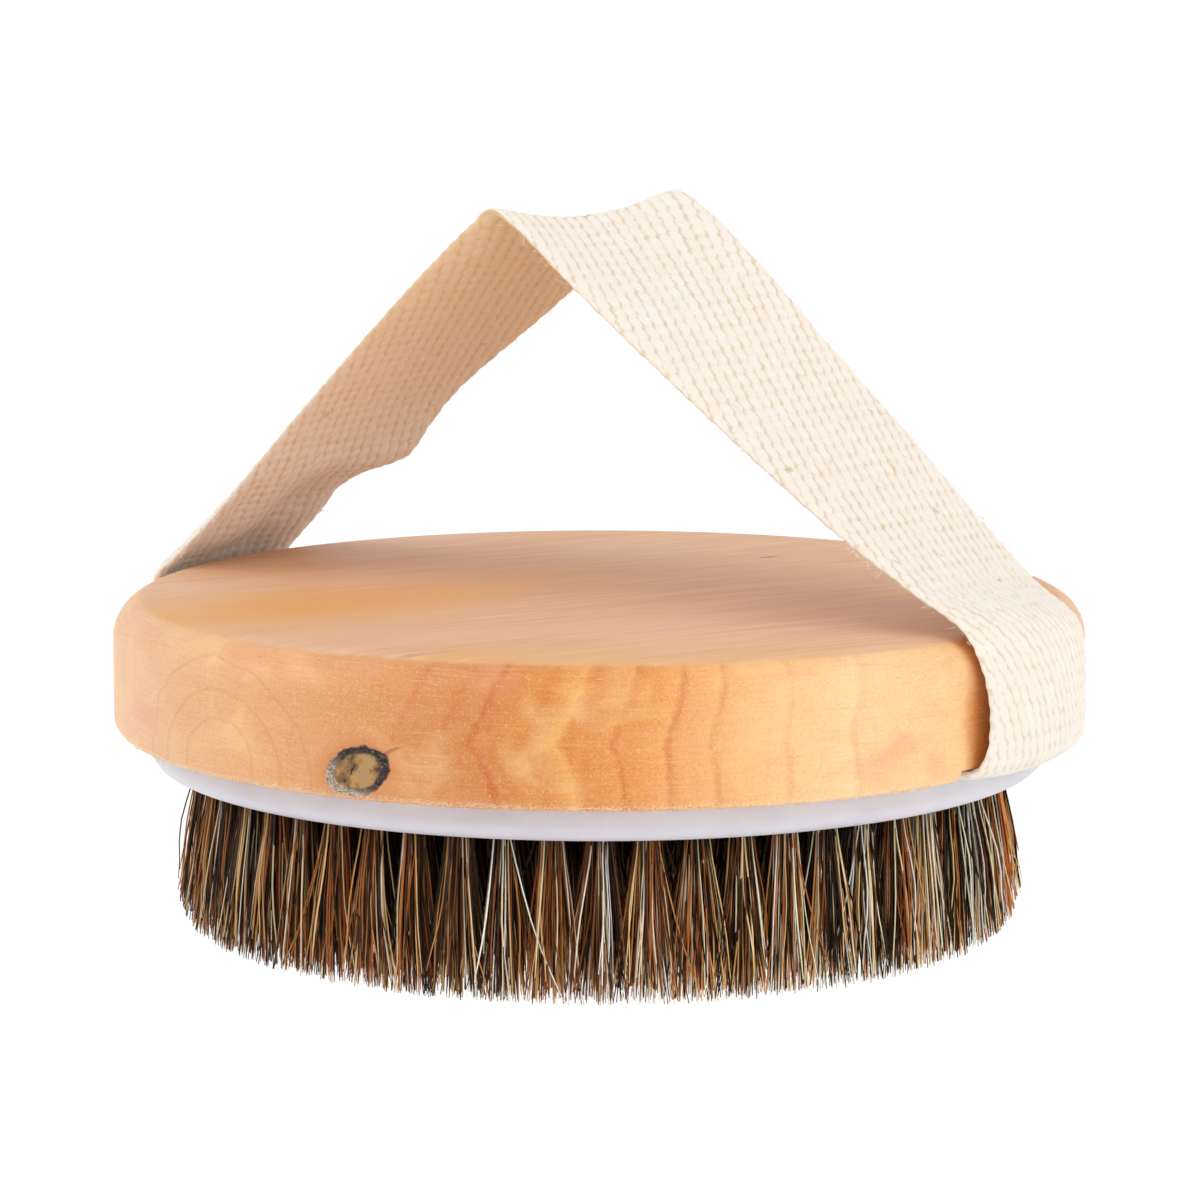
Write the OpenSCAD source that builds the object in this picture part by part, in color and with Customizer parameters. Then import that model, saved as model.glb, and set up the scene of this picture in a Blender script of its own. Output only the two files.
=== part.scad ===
// Round body dry brush: a turned wooden block with a plate of bristle tufts under it
// and a webbing hand strap over it. Millimetres, +Z up. The origin is on the resting
// plane, under the middle of the block, where the bristle tips touch a table. The
// strap runs along X.

/* [Wooden block] */
// Diameter of the block
block_d = 110; // [104:1:130]
// Thickness of the block
block_t = 15; // [13:0.5:22]
// Radius of the rounded top edge
block_top_r = 4.5; // [1:0.5:5]
// Radius of the eased bottom edge
block_low_r = 1.5; // [0.5:0.5:3]

/* [Bristle plate] */
// Diameter of the plate
plate_d = 102; // [100:1:103]
// Thickness of the plate
plate_t = 4; // [3.6:0.2:6]
// Radius of the plate's rounded lower edge
plate_low_r = 2; // [0.5:0.25:2.5]

/* [Bristle tufts] */
// Length of a tuft below the plate
tuft_l = 18; // [14:0.5:26]
// Number of rings of tufts around the middle one
rings = 9; // [9:1:9]
// Radius of the outermost ring
outer_ring_r = 45.2; // [44.8:0.1:46]
// Distance from one ring to the next
ring_gap = 5; // [4.9:0.05:5]
// Distance from one tuft to the next along a ring
tuft_pitch = 5.1; // [5.1:0.05:6]
// Radius of a tuft where it leaves the plate
tuft_root_r = 1.3; // [1:0.05:1.4]
// Radius of a tuft near its tips
tuft_tip_r = 2.3; // [1.6:0.05:2.35]
// How much shorter the rings are that don't carry the weight
tuft_trim = 0.25; // [0:0.05:0.5]

/* [Hand strap] */
// Width of the webbing
strap_w = 27; // [25:1:40]
// Thickness of the webbing
strap_t = 1.3; // [1:0.1:2]
// Height of the top of the strap above the block
strap_rise = 44.2; // [36:0.2:56]
// Distance of the peak of the strap from the middle, along X
peak_x = -1.5; // [-4:0.5:4]
// Radius of the bend at the peak
peak_r = 3; // [1.5:0.5:6]
// Sag of each leg of the strap below a straight line
leg_sag = 1; // [0:0.25:2]
// Length of the strap end held under the block
tab_l = 20; // [16:1:22]

/* [Fasteners] */
// Head diameter of a plate screw
screw_head_d = 4.6; // [4:0.1:4.6]
// Shank diameter of a plate screw
screw_d = 2.6; // [2:0.1:3]
// Length of a plate screw
screw_l = 13; // [10:0.5:15]

/* [Hidden] */

$fn = 96;
block_r = block_d / 2;
plate_r = plate_d / 2;
plate_z = tuft_l;                       // underside of the plate
block_z = plate_z + plate_t;            // underside of the block
top_z = block_z + block_t;              // top of the block
cut = 1;                                // how far a cutter runs past a face

hole_r = tuft_root_r + 0.1;             // blind hole for a tuft
hole_depth = 3;
tuft_seat = 2.1;                        // how far a tuft goes into its hole
anchor_size = [2 * hole_r + 0.1, 0.35, 0.75];
anchor_gap = 0.05;
tip_chamfer = 0.6;
tip_rise = 1.1;
screw_ring = 5;                         // the ring in which screws replace tufts
screw_count = 4;
screw_gap = 0.1;
screw_head_h = 1.6;
drive_size = [0.7, 2.6, 0.9];           // one arm of the cross recess
drive_turn = 45;

side_gap = 0.1;                         // strap to the side of the block
rebate_depth = strap_t + 0.2;
rebate_w = strap_w + 1;
rebate_gap = 0.5;                       // past the inner end of the strap
tab_z = block_z + 0.1;
tab_in_x = block_r - tab_l;
strap_in_x = block_r + side_gap;
strap_out_x = strap_in_x + strap_t;
bend_r = strap_t + side_gap;            // outer bend, round the corner of the rebate
leg_z = top_z - 1;                      // where the side of the strap becomes its leg
crown_half = 12;
seam_gap = 0.05;
crown_slope = 0.95;
crown_z = top_z + strap_rise - strap_t / 2;
leg_steps = 16;
foot_steps = 2;                         // how many steps a leg runs on past its foot
crown_steps = 24;
strap_left = -1;
strap_right = 1;

staple_l = 9;
staple_wire = [1.1, 0.5];
staple_leg = 8;
staple_spread = 7;                      // each staple's distance from the middle
staple_x = block_r - 12;

wood = [0.87, 0.66, 0.45];
plastic = [0.80, 0.79, 0.82];
webbing = [0.93, 0.88, 0.80];
bristle = [0.30, 0.20, 0.13];
steel = [0.72, 0.72, 0.74];

function ring_r(i) = outer_ring_r - (rings - i) * ring_gap;
function ring_n(i) = 2 * round(PI * ring_r(i) / tuft_pitch);
function is_screw(i, k) = i == screw_ring && k % (ring_n(i) / screw_count) == 0;
function carries(i) = i == rings || i == screw_ring;

// points of a quarter circle in the radius and height plane, from angle a to b
function arc(c, r, a, b) = [for (s = [0:12]) let (t = a + (b - a) * s / 12)
    [c[0] + r * cos(t), c[1] + r * sin(t)]];

// middle line of the webbing: height above the resting plane at x
function crown_mid(x) = crown_z
    - crown_slope * (sqrt(pow(x - peak_x, 2) + peak_r * peak_r) - peak_r);
function crown_end(side) = peak_x + side * crown_half;
function leg_foot(side) = side * (strap_in_x + strap_t / 2);
function leg_mid(side, u) = let (a = [leg_foot(side), leg_z],
        b = [crown_end(side), crown_mid(crown_end(side))])
    [a[0] + (b[0] - a[0]) * u, a[1] + (b[1] - a[1]) * u - leg_sag * sin(180 * u)];

module profile_band(mid) {
    // a band of even thickness along a middle line, given as points in X and Z
    last = len(mid) - 1;
    normals = [for (i = [0:last]) let (
        d = mid[min(i + 1, last)] - mid[max(i - 1, 0)]) [-d[1], d[0]] / norm(d)];
    upper = [for (i = [0:last]) mid[i] + normals[i] * strap_t / 2];
    lower = [for (i = [last:-1:0]) mid[i] - normals[i] * strap_t / 2];
    polygon(concat(upper, lower));
}

module across_strap() {
    // stands an X and Z outline up and gives it the width of the webbing
    translate([0, strap_w / 2, 0]) rotate([90, 0, 0]) linear_extrude(strap_w) children();
}

module at_tufts(i) {
    for (k = [0:ring_n(i) - 1]) if (!is_screw(i, k))
        rotate([0, 0, 360 * k / ring_n(i)]) translate([ring_r(i), 0, 0]) children();
}

module at_screws() {
    for (k = [0:screw_count - 1]) rotate([0, 0, 360 * k / screw_count])
        translate([ring_r(screw_ring), 0, 0]) children();
}

module screw_body(gap, length) {
    translate([0, 0, plate_z]) rotate_extrude() polygon([[0, 0],
        [screw_head_d / 2 + gap, 0], [screw_d / 2 + gap, screw_head_h],
        [screw_d / 2 + gap, length], [0, length]]);
}

module block_blank() {
    rotate_extrude() polygon(concat([[0, block_z], [block_r - block_low_r, block_z]],
        arc([block_r - block_low_r, block_z + block_low_r], block_low_r, -90, 0),
        arc([block_r - block_top_r, top_z - block_top_r], block_top_r, 0, 90),
        [[0, top_z]]));
}

module rebate(side) {
    // the shallow rebate that takes one strap end, open at the rim
    translate([side > 0 ? tab_in_x - rebate_gap : -block_d, -rebate_w / 2, block_z - cut])
        cube([block_d - tab_in_x + rebate_gap, rebate_w, rebate_depth + cut]);
}

module wood_block() {
    color(wood) difference() {
        block_blank();
        rebate(strap_left);
        rebate(strap_right);
        at_screws() screw_body(screw_gap, screw_l + screw_gap);
    }
}

module bristle_plate() {
    color(plastic) difference() {
        rotate_extrude() polygon(concat([[0, plate_z]],
            arc([plate_r - plate_low_r, plate_z + plate_low_r], plate_low_r, -90, 0),
            [[plate_r, block_z], [0, block_z]]));
        translate([0, 0, plate_z - cut]) cylinder(h = hole_depth + cut, r = hole_r);
        for (i = [1:rings]) at_tufts(i)
            translate([0, 0, plate_z - cut]) cylinder(h = hole_depth + cut, r = hole_r);
        at_screws() screw_body(screw_gap, plate_t + cut);
    }
}

module plate_screws() {
    color(steel) at_screws() difference() {
        screw_body(0, screw_l);
        for (turn = [0, 90]) rotate([0, 0, turn + drive_turn])
            translate([0, 0, plate_z]) cube(drive_size, center = true);
    }
}

module tuft(trim) {
    rotate_extrude($fn = 32) polygon([[0, trim], [tuft_tip_r - tip_chamfer, trim],
        [tuft_tip_r, trim + tip_rise], [tuft_root_r, plate_z - 0.5],
        [tuft_root_r, plate_z + tuft_seat], [0, plate_z + tuft_seat]]);
}

module tufts_ring(i) {
    color(bristle) at_tufts(i) tuft(carries(i) ? 0 : tuft_trim);
}

module tuft_centre() { color(bristle) tuft(0); }
module tufts_ring_1() { tufts_ring(1); }
module tufts_ring_2() { tufts_ring(2); }
module tufts_ring_3() { tufts_ring(3); }
module tufts_ring_4() { tufts_ring(4); }
module tufts_ring_5() { tufts_ring(5); }
module tufts_ring_6() { tufts_ring(6); }
module tufts_ring_7() { tufts_ring(7); }
module tufts_ring_8() { tufts_ring(8); }
module tufts_ring_9() { tufts_ring(9); }

module anchor() {
    // the flat wire that wedges a folded tuft in its hole
    translate([0, 0, plate_z + tuft_seat + anchor_gap + anchor_size[2] / 2])
        cube(anchor_size, center = true);
}

module tuft_anchors() {
    color(steel) {
        anchor();
        for (i = [1:rings]) at_tufts(i) anchor();
    }
}

module leg_profile(side) {
    // the leg's outline, run on past its foot so that the rim of the strap can trim it
    profile_band([for (s = [-foot_steps:leg_steps + 1]) leg_mid(side, s / leg_steps)]);
}

module above_leg(side) {
    // everything above the underside of a leg's foot
    a = leg_mid(side, -foot_steps / leg_steps);
    b = leg_mid(side, foot_steps / leg_steps);
    drop = [0, (strap_t / 2 + seam_gap) * norm(b - a) / abs(b[0] - a[0])];
    polygon([a - drop, b - drop, [b[0], crown_z], [a[0], crown_z]]);
}

module strap_end(side) {
    // from under the block, round its lower edge and up its side
    tab_top = tab_z + strap_t;
    inner_bend = bend_r - strap_t;
    color(webbing) difference() {
        intersection() {
            rotate_extrude() polygon(concat(
                [[tab_in_x - cut, tab_z], [strap_out_x - bend_r, tab_z]],
                arc([strap_out_x - bend_r, tab_z + bend_r], bend_r, -90, 0),
                [[strap_out_x, top_z + bend_r], [strap_in_x, top_z + bend_r]],
                arc([strap_in_x - inner_bend, tab_top + inner_bend], inner_bend, 0, -90),
                [[tab_in_x - cut, tab_top]]));
            translate([side > 0 ? tab_in_x : -block_d, -strap_w / 2, 0])
                cube([block_d - tab_in_x, strap_w, crown_z]);
        }
        across_strap() above_leg(side);
    }
}

module strap_leg(side) {
    color(webbing) intersection() {
        across_strap() intersection() {
            leg_profile(side);
            translate([side > 0 ? crown_end(side) + seam_gap : -block_d, block_z])
                square([side > 0 ? block_d : crown_end(side) - seam_gap + block_d, block_d]);
        }
        cylinder(h = crown_z, r = strap_out_x);
    }
}

module strap_crown() {
    x0 = crown_end(strap_left);
    color(webbing) across_strap() intersection() {
        profile_band([for (s = [-1:crown_steps + 1]) let (
            x = x0 + 2 * crown_half * s / crown_steps) [x, crown_mid(x)]]);
        translate([x0, top_z]) square([2 * crown_half, 2 * strap_rise]);
    }
}

module strap_end_left() { strap_end(strap_left); }
module strap_end_right() { strap_end(strap_right); }
module strap_leg_left() { strap_leg(strap_left); }
module strap_leg_right() { strap_leg(strap_right); }

module strap_staples(side) {
    // two wire staples that hold one strap end up into the block
    wide = staple_wire[0];
    thin = staple_wire[1];
    color(steel) for (y = [-staple_spread, staple_spread])
        translate([side * staple_x, y, block_z + seam_gap]) {
            translate([0, 0, thin / 2]) cube([wide, staple_l, thin], center = true);
            for (s = [-1, 1]) translate([0, s * (staple_l - thin) / 2, staple_leg / 2])
                cube([wide, thin, staple_leg], center = true);
        }
}

module strap_staples_left() { strap_staples(strap_left); }
module strap_staples_right() { strap_staples(strap_right); }

wood_block();
bristle_plate();
plate_screws();
strap_end_left();
strap_leg_left();
strap_crown();
strap_leg_right();
strap_end_right();
strap_staples_left();
strap_staples_right();
tuft_anchors();
tuft_centre();
tufts_ring_1();
tufts_ring_2();
tufts_ring_3();
tufts_ring_4();
tufts_ring_5();
tufts_ring_6();
tufts_ring_7();
tufts_ring_8();
tufts_ring_9();
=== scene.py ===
import math

import bpy
import numpy as np
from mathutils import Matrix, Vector


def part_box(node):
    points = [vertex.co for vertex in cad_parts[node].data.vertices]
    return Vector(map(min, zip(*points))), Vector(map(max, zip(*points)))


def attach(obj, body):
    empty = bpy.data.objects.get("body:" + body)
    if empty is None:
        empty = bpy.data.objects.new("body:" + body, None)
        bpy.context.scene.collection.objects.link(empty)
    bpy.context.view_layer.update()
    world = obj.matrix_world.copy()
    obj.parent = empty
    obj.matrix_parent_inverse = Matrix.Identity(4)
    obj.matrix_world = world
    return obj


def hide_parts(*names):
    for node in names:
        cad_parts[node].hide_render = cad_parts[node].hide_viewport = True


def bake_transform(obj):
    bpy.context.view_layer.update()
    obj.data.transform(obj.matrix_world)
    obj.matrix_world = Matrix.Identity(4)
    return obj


# Round body dry brush. Shapes are worked out in millimetres in the frame's own axes (+Z up,
# strap along X) and become metres when a mesh is made. The bristles stand on Z = 0.

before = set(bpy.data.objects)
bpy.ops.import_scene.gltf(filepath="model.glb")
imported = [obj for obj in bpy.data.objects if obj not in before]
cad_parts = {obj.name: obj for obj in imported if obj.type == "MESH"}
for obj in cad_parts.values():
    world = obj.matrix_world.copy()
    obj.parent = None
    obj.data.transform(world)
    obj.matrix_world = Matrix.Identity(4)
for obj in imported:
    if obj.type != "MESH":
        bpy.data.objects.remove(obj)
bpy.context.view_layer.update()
MM = 0.001


def box_mm(node):
    """Lowest and highest corner of a CAD node, in millimetres."""
    low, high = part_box(node)
    return np.array(low) / MM, np.array(high) / MM


BLOCK_HIGH = box_mm("wood_block")[1]
PLATE_LOW, PLATE_HIGH = box_mm("bristle_plate")
BLOCK_R = BLOCK_HIGH[1]
TOP_Z = BLOCK_HIGH[2]
BLOCK_Z = PLATE_HIGH[2]
PLATE_Z = PLATE_LOW[2]
PLATE_R = PLATE_HIGH[1]
TOP_ROUND = 4.5  # radius of the block's top edge
LOW_ROUND = 1.5  # radius of its lower edge
TAB_X = box_mm("strap_end_right")[0][0]
REBATE_X = TAB_X - 0.5
REBATE_Z = BLOCK_Z + 1.5
REBATE_Y = (-13.6, 15.0)

FRONT = math.radians(-58)  # where the block's side faces the camera
GRAIN = math.radians(64)  # direction of the wood's fibres

SEED = 7
TUBE_SIDES = 3  # sides of every hair and fibre
PER_SPAN = 24  # steps of a smooth curve from one given point to the next


def srgb(r, g, b):
    """An 8-bit screen colour as the linear colour that nodes take."""
    c = np.array([r, g, b]) / 255
    c = np.where(c <= 0.04045, c / 12.92, ((c + 0.055) / 1.055) ** 2.4)
    return (*[float(x) for x in c], 1.0)


def grey(level):
    return (level, level, level, 1.0)


# ---- mesh helpers

def join(*parts):
    """The parts side by side, along a new last axis."""
    return np.stack(parts, -1)


def unit(vectors):
    """Vectors scaled to a length of 1."""
    return vectors / np.linalg.norm(vectors, axis=-1, keepdims=True)


def polar(radius, angle):
    """Plane points from a radius and an angle."""
    return join(radius * np.cos(angle), radius * np.sin(angle))


def travelled(curve):
    """The distance along a curve to each of its points."""
    return np.concatenate([[0], np.cumsum(np.linalg.norm(np.diff(curve, axis=0), axis=1))])


def new_object(name, data):
    made = bpy.data.objects.new(name, data)
    bpy.context.scene.collection.objects.link(made)
    return made


def outward(points, faces, uv):
    """The faces and their coordinates, turned over if they enclose a negative volume."""
    volume = 0.0
    for part in faces:
        a = points[part[:, 0]]
        for k in range(1, part.shape[1] - 1):
            b, c = points[part[:, k]], points[part[:, k + 1]]
            volume += (a * np.cross(b, c)).sum()
    if volume < 0:
        return [part[:, ::-1] for part in faces], [part[:, ::-1] for part in uv]
    return faces, uv


def build(name, points, faces, material, values=None, colours=None, uv=None):
    """A smooth mesh from points in millimetres and a list of face index arrays.

    values and colours are attributes for the material, one entry a point. uv has the
    coordinates of each face array's corners."""
    mesh = bpy.data.meshes.new(name)
    mesh.vertices.add(len(points))
    mesh.vertices.foreach_set("co", (points * MM).astype(np.float32).ravel())
    corners = np.concatenate([part.ravel() for part in faces])
    sizes = np.concatenate([np.full(len(part), part.shape[1]) for part in faces])
    mesh.loops.add(len(corners))
    mesh.loops.foreach_set("vertex_index", corners.astype(np.int32))
    mesh.polygons.add(len(sizes))
    starts = np.concatenate([[0], np.cumsum(sizes)[:-1]])
    mesh.polygons.foreach_set("loop_start", starts.astype(np.int32))
    mesh.polygons.foreach_set("use_smooth", np.ones(len(sizes), bool))
    mesh.update(calc_edges=True)
    for kind, field, given in (("FLOAT", "value", values), ("FLOAT_COLOR", "color", colours)):
        for key, value in (given or {}).items():
            attribute = mesh.attributes.new(key, kind, "POINT")
            attribute.data.foreach_set(field, value.astype(np.float32).ravel())
    if uv is not None:
        layer = mesh.uv_layers.new(name="OFBake")
        spread = np.concatenate([part.reshape(-1, 2) for part in uv])
        layer.data.foreach_set("uv", spread.astype(np.float32).ravel())
    mesh.materials.append(material)
    return new_object(name, mesh)


def ring_quads(index):
    """Quads between rows of point numbers, where each row closes on itself."""
    here, there = index[..., :-1, :], index[..., 1:, :]
    return join(here, np.roll(here, -1, -1), np.roll(there, -1, -1), there).reshape(-1, 4)


def sides_of(count):
    """The start and the end of each of a number of equal parts of 1."""
    start = np.arange(count) / count
    return join(start, start + 1 / count)


def tubes(lines, radius):
    """Points, faces and corner coordinates of thin closed tubes.

    lines is (tubes, steps, 3), radius is (tubes, steps), and each tube's coordinates
    lie in its own cell of the square."""
    count, steps, _ = lines.shape
    along = unit(np.gradient(lines, axis=1))
    side = unit(np.cross(along, np.array([0.36, 0.80, 0.48])))
    up = np.cross(along, side)
    turn = math.tau * np.arange(TUBE_SIDES) / TUBE_SIDES
    ring = (side[:, :, None] * np.cos(turn)[:, None]
            + up[:, :, None] * np.sin(turn)[:, None])
    points = lines[:, :, None] + radius[:, :, None, None] * ring
    index = np.arange(count * steps * TUBE_SIDES).reshape(count, steps, TUBE_SIDES)
    faces = [ring_quads(index), index[:, 0, ::-1], index[:, -1]]

    cells = math.ceil(math.sqrt(count))
    corner = join(np.arange(count) % cells, np.arange(count) // cells)
    margin = 0.12
    u, v = sides_of(TUBE_SIDES)[:, [0, 1, 1, 0]], sides_of(steps - 1)[:, [0, 0, 1, 1]]
    local = join(*np.broadcast_arrays(u[None], v[:, None]))
    local = margin + (1 - 2 * margin) * local
    on_quads = (corner[:, None, None, None] + local[None]) / cells
    cap = margin + polar(0.02, turn)
    on_caps = (corner[:, None] + cap[None]) / cells
    return points.reshape(-1, 3), faces, [on_quads, on_caps, on_caps]


def fibres(name, lines, radius, rng, colours, material):
    """A mesh of thin fibres, each in one of the colours."""
    count, steps = radius.shape
    points, faces, uv = tubes(lines, radius)
    shade = np.array([srgb(*colour) for colour in colours])
    shade = np.repeat(shade[rng.integers(0, len(colours), count)], steps * TUBE_SIDES, axis=0)
    return build(name, points, faces, material, None, {"shade": shade}, uv)


def between(a, b, start, end, t):
    """The straight change from a at the start to b at the end."""
    return ((end - t) * a + (t - start) * b) / (end - start)


def smooth_path(points):
    """A Catmull-Rom curve through the points, with PER_SPAN steps from one to the next."""
    p = np.array(points, float)
    p = np.vstack([2 * p[0] - p[1], p, 2 * p[-1] - p[-2]])
    gap = np.linalg.norm(np.diff(p, axis=0), axis=1) ** 0.5
    knots = np.concatenate([[0], np.cumsum(gap)])
    out = []
    for i in range(1, len(p) - 2):
        t0, t1, t2, t3 = knots[i - 1:i + 3]
        t = np.linspace(t1, t2, PER_SPAN, endpoint=False)[:, None]
        a1 = between(p[i - 1], p[i], t0, t1, t)
        a2 = between(p[i], p[i + 1], t1, t2, t)
        a3 = between(p[i + 1], p[i + 2], t2, t3, t)
        b1, b2 = between(a1, a2, t0, t2, t), between(a2, a3, t1, t3, t)
        out.append(between(b1, b2, t1, t2, t))
    out.append(p[-2:-1])
    return np.vstack(out)


def even(curve, count):
    """The curve at count points the same distance apart."""
    at = travelled(curve)
    want = np.linspace(0, at[-1], count)
    return join(*[np.interp(want, at, curve[:, k]) for k in range(3)])


def wave_noise(rng, coordinates, scale, terms=18):
    """Smooth noise from -1 to 1 on (n, k) coordinates: a sum of random waves."""
    total = 0.0
    for _ in range(terms):
        direction = rng.normal(size=coordinates.shape[1])
        wave = rng.uniform(0.6, 1.7) / scale
        direction *= wave / np.linalg.norm(direction)
        total = total + np.sin(math.tau * (coordinates @ direction) + rng.uniform(0, 6.3))
    return total / math.sqrt(terms / 2) / 1.6


def step(low, high, x):
    """Smooth step from 0 at low to 1 at high."""
    t = np.clip((x - low) / (high - low), 0, 1)
    return t * t * (3 - 2 * t)


# ---- material helpers

class Tree:
    """A new material's node tree, with one short call a node."""

    def __init__(self, name):
        self.material = bpy.data.materials.new(name)
        self.material.use_nodes = True
        self.tree = self.material.node_tree
        self.shader = self.tree.nodes["Principled BSDF"]

    def put(self, socket, value):
        if isinstance(value, bpy.types.NodeSocket):
            self.tree.links.new(value, socket)
        else:
            socket.default_value = value

    def add(self, kind, inputs=None, **settings):
        made = self.tree.nodes.new("ShaderNode" + kind)
        for key, value in settings.items():
            setattr(made, key, value)
        for key, value in (inputs or {}).items():
            self.put(made.inputs[key], value)
        return made

    def set(self, **inputs):
        for key, value in inputs.items():
            self.put(self.shader.inputs[key.replace("_", " ")], value)

    def math(self, operation, a, b=0.0, c=0.0, clamp=False):
        return self.add("Math", {0: a, 1: b, 2: c},
                        operation=operation, use_clamp=clamp).outputs[0]

    def mix(self, factor, a, b, blend="MIX"):
        return self.add("Mix", {0: factor, 6: a, 7: b}, data_type="RGBA",
                        blend_type=blend).outputs[2]

    def wash(self, colour, share, strength, to, clamp=False):
        """The colour turned towards another by a share times a strength."""
        share = self.math("MULTIPLY", share, strength, clamp=clamp)
        return self.mix(share, colour, srgb(*to))

    def wobble(self, value, noise, amount):
        """The value moved up and down by a noise."""
        return self.math("MULTIPLY_ADD", self.math("SUBTRACT", noise, 0.5), amount, value)

    def tint(self, colour, factor, low, high, strength, to):
        """A wash that grows as the factor goes from low to high."""
        return self.wash(colour, self.levels(factor, low, high), strength, to)

    def value(self, name):
        return self.add("Attribute", attribute_name=name).outputs["Fac"]

    def colour(self, name):
        return self.add("Attribute", attribute_name=name).outputs["Color"]

    def place(self, scale=(1, 1, 1), turn=0.0):
        """The point in the object, in millimetres, turned about Z and then scaled."""
        here = self.add("TexCoord").outputs["Object"]
        turned = self.add("VectorRotate",
                          {"Vector": here, "Angle": -turn}, rotation_type="Z_AXIS")
        size = [s / MM for s in scale]
        return self.add("VectorMath", {0: turned.outputs[0], 1: size},
                        operation="MULTIPLY").outputs[0]

    def noise(self, where, scale, detail=2.0, rough=0.5, distort=0.0):
        return self.add("TexNoise", {
            "Vector": where, "Scale": scale, "Detail": detail,
            "Roughness": rough, "Distortion": distort}).outputs["Fac"]

    def ramp(self, factor, stops):
        """A colour ramp of positions and colours, which are 8-bit RGB or linear RGBA."""
        made = self.add("ValToRGB", {"Fac": factor})
        elements = made.color_ramp.elements
        while len(elements) < len(stops):
            elements.new(0.5)
        for element, (position, colour) in zip(elements, sorted(stops)):
            element.position = position
            element.color = colour if len(colour) == 4 else srgb(*colour)
        return made.outputs["Color"]

    def levels(self, factor, low, high):
        """The factor stretched so that low becomes 0 and high becomes 1."""
        return self.add("MapRange", {"Value": factor, "From Min": low,
                                     "From Max": high}).outputs["Result"]

    def bump(self, height, distance_mm, strength):
        return self.add("Bump", {"Height": height, "Distance": distance_mm * MM,
                                 "Strength": strength}).outputs["Normal"]


# ---- materials

# growth rings across the block's side: place from the middle of the front and half width,
# in millimetres, and how dark the line is
RING_LINES = [(-21.5, 0.4, 0.35), (-16.6, 0.4, 0.45), (-13.5, 0.38, 0.75), (-8.4, 0.38, 0.75),
              (-3.8, 0.36, 1.0), (1.5, 0.38, 0.70), (6.6, 0.38, 0.52), (11.5, 0.4, 0.42),
              (19.6, 0.4, 0.28), (27, 0.4, 0.26)]
# places along the side, measured in the same way, and the colour of the wood there. The dark orange
# from 43.5 to 66 is painted shade under the strap's right leg
SIDE_BANDS = [(-86, (238, 196, 160)), (-62, (230, 184, 144)), (-40, (226, 168, 118)),
              (-24, (214, 146, 88)), (-14, (206, 132, 70)), (-8, (218, 144, 72)),
              (-4.2, (236, 172, 98)), (-3.2, (220, 144, 74)), (4, (230, 158, 84)),
              (9, (238, 172, 106)), (16, (244, 190, 128)), (26, (248, 208, 154)),
              (41.5, (247, 204, 146)), (43.5, (222, 142, 72)), (66, (222, 142, 72)),
              (70, (240, 196, 146)), (86, (238, 196, 160))]
BAND_SPAN = 86.0
# a small dark flaw on the top, in stretched coordinates along and across the fibres
TOP_FLAW = (0.5 * (3.4 * math.cos(GRAIN) + 32.8 * math.sin(GRAIN)),
            1.3 * (32.8 * math.cos(GRAIN) - 3.4 * math.sin(GRAIN)), TOP_Z)


def side_colour(t, mm, speck):
    """The side of the block: chevron growth rings over a slowly changing tan."""
    ring = t.wobble(t.value("ring"), t.noise(mm, 0.9, 3), 1.1)
    at = t.levels(ring, -BAND_SPAN, BAND_SPAN)
    bands = t.ramp(at, [((x + BAND_SPAN) / 2 / BAND_SPAN, c) for x, c in SIDE_BANDS])
    marks = [(0.0, grey(0)), (1.0, grey(0))]
    for x, half, dark in RING_LINES:
        centre, width = (x + BAND_SPAN) / 2 / BAND_SPAN, half / 2 / BAND_SPAN
        marks += [(centre - width, grey(0)), (centre, grey(dark)),
                  (centre + width, grey(0.25 * dark))]
    faint = t.noise(t.place((0.5, 0.5, 0.12)), 1)
    line = t.math("MULTIPLY", t.ramp(at, marks), t.levels(faint, 0.20, 0.50), clamp=True)
    side = t.wash(bands, line, 1.25, (192, 88, 30), clamp=True)
    side = t.tint(side, speck, 0.52, 0.74, 0.45, (252, 208, 150))
    side = t.tint(side, speck, 0.48, 0.28, 0.45, (208, 124, 58))

    patch = t.noise(t.place((0.10, 0.10, 0.16)), 1, 3, 0.55, 0.5)
    side = t.tint(side, patch, 0.50, 0.70, 0.50, (226, 158, 118))
    side = t.tint(side, patch, 0.46, 0.28, 0.45, (244, 198, 144))
    sawn = t.noise(t.place((0.22, 0.22, 5.0)), 1, 2, 0.6)
    side = t.tint(side, sawn, 0.54, 0.76, 0.20, (250, 208, 158))
    side = t.tint(side, sawn, 0.44, 0.24, 0.20, (196, 112, 58))
    arch = t.math("ABSOLUTE", t.wobble(t.value("arch"), patch, 2.4))
    return t.tint(side, arch, 0.30, 0.0, 0.18, (176, 104, 62))


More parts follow.
